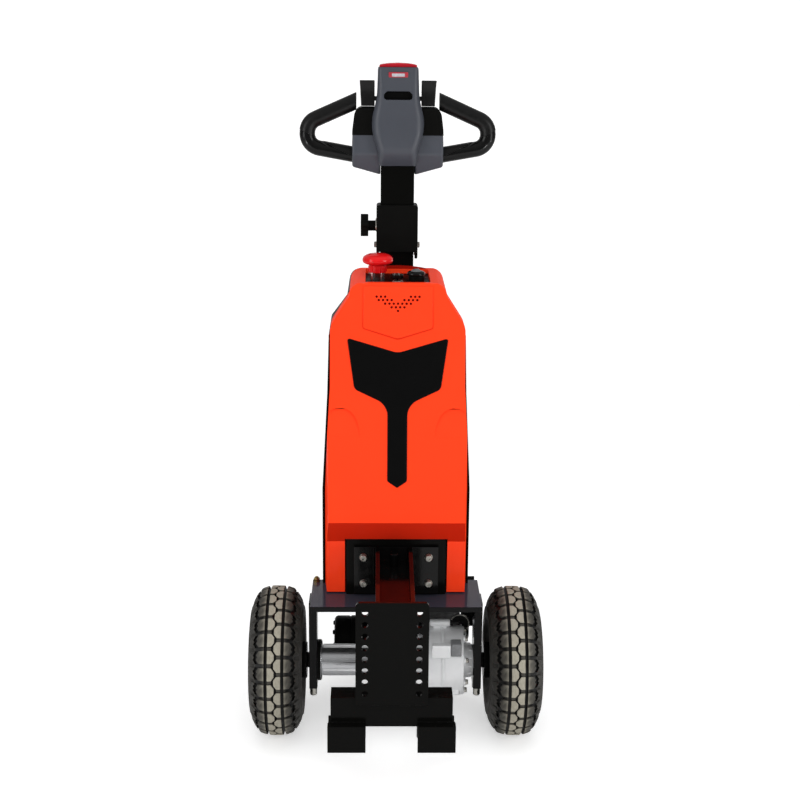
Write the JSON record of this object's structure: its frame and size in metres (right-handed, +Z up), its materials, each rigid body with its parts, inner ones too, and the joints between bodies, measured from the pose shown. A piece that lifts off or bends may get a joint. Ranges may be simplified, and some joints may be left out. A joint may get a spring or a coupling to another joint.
{
  "type": "walk-behind electric tug",
  "caption": "Walk-behind electric tug: two treaded drive wheels, red cowl, height-set hitch in front, tilting tiller with hand loops and a swivel caster behind.",
  "frame": {"origin": "on the floor under the middle of the drive axle, which is the centre of the object's plan", "axes": "+Z up, +X to the right seen from the hitch end, -Y to the hitch, +Y to the person at the tiller"},
  "size_m": [0.638, 0.626, 1.461],
  "materials": {
    "cover_red": "high gloss moulded red-orange",
    "panel_black": "satin black",
    "inlay_black": "high gloss black",
    "dash_black": "satin black",
    "frame_black": "gloss black powder coat",
    "floor_black": "black powder coat",
    "cast_aluminium": "bead blasted casting",
    "bright_steel": "zinc plated",
    "motor_black": "semi gloss black",
    "battery_grey": "matte",
    "tyre_rubber": "dusty treaded rubber",
    "rim_grey": "silver paint",
    "hub_black": "black",
    "stop_red": "gloss red",
    "stem_black": "black",
    "gauge_black": "gloss black",
    "key_black": "black",
    "post_black": "satin black",
    "sleeve_black": "gloss black",
    "knob_black": "black moulding",
    "head_grey": "slate grey moulding",
    "head_black": "gloss black",
    "belly_red": "crimson",
    "grip_rubber": "satin black rubber",
    "paddle_black": "black moulding",
    "caster_rubber": "black tread",
    "caster_grey": "grey nylon",
    "zinc": "zinc plated sheet"
  },
  "bodies": {
    "chassis": {"axle_cradle": "frame_black", "cradle_bolts": "bright_steel", "axle_tube": "cast_aluminium", "gear_housing": "cast_aluminium", "motor_flange_ring": "cast_aluminium", "drive_motor": "motor_black", "parking_brake": "bright_steel", "chassis_floor": "floor_black", "caster_pedestal": "floor_black", "battery_block": "battery_grey", "front_cover": "cover_red", "side_panel_left": "panel_black", "side_panel_right": "panel_black", "rear_panel": "panel_black", "dashboard_panel": "dash_black", "deck_plate": "dash_black", "stop_button_stem": "stem_black", "stop_button": "stop_red", "battery_gauge": "gauge_black", "key_switch": "key_black", "front_inlay": "inlay_black", "hitch_recess": "frame_black", "hitch_arm": "frame_black", "drop_pin": "bright_steel", "hitch_bolts": "bright_steel", "hitch_plate": "frame_black", "hitch_crossbar": "frame_black", "caster_race": "zinc", "tiller_post": "post_black"},
    "wheel_left": {"tyre_left": "tyre_rubber", "rim_left": "rim_grey", "hub_left": "hub_black"},
    "wheel_right": {"tyre_right": "tyre_rubber", "rim_right": "rim_grey", "hub_right": "hub_black"},
    "caster_swivel": {"caster_fork": "zinc", "caster_axle": "bright_steel"},
    "caster_wheel": {"caster_tyre": "caster_rubber", "caster_hub": "caster_grey"},
    "tiller": {"tiller_sleeve": "sleeve_black", "tiller_pin": "bright_steel", "clamp_knob": "knob_black"},
    "head": {"tiller_tube": "sleeve_black", "head_spine": "head_grey", "head_side_bodies": "head_grey", "head_insets": "head_black", "belly_switch": "belly_red", "throttle_paddle_left": "paddle_black", "throttle_paddle_right": "paddle_black", "hand_loop_left": "grip_rubber", "hand_loop_right": "grip_rubber"}
  },
  "joints": [
    {"name": "wheel_left_spin", "type": "hinge", "parent": "chassis", "child": "wheel_left", "pos_m": [-0.261, 0, 0.165], "axis": [1, 0, 0], "continuous": true},
    {"name": "wheel_right_spin", "type": "hinge", "parent": "chassis", "child": "wheel_right", "pos_m": [0.261, 0, 0.165], "axis": [1, 0, 0], "continuous": true},
    {"name": "caster_turn", "type": "hinge", "parent": "chassis", "child": "caster_swivel", "pos_m": [0, 0.24, 0.146], "axis": [0, 0, 1], "continuous": true},
    {"name": "caster_spin", "type": "hinge", "parent": "caster_swivel", "child": "caster_wheel", "pos_m": [0, 0.202, 0.0625], "axis": [1, 0, 0], "continuous": true},
    {"name": "tiller_tilt", "type": "hinge", "parent": "chassis", "child": "tiller", "pos_m": [0, 0.24, 1.063], "axis": [-1, 0, 0], "range_deg": [0, 75]},
    {"name": "tiller_extend", "type": "slide", "parent": "tiller", "child": "head", "axis": [0, 0, 1], "range_m": [0, 0.03]}
  ]
}
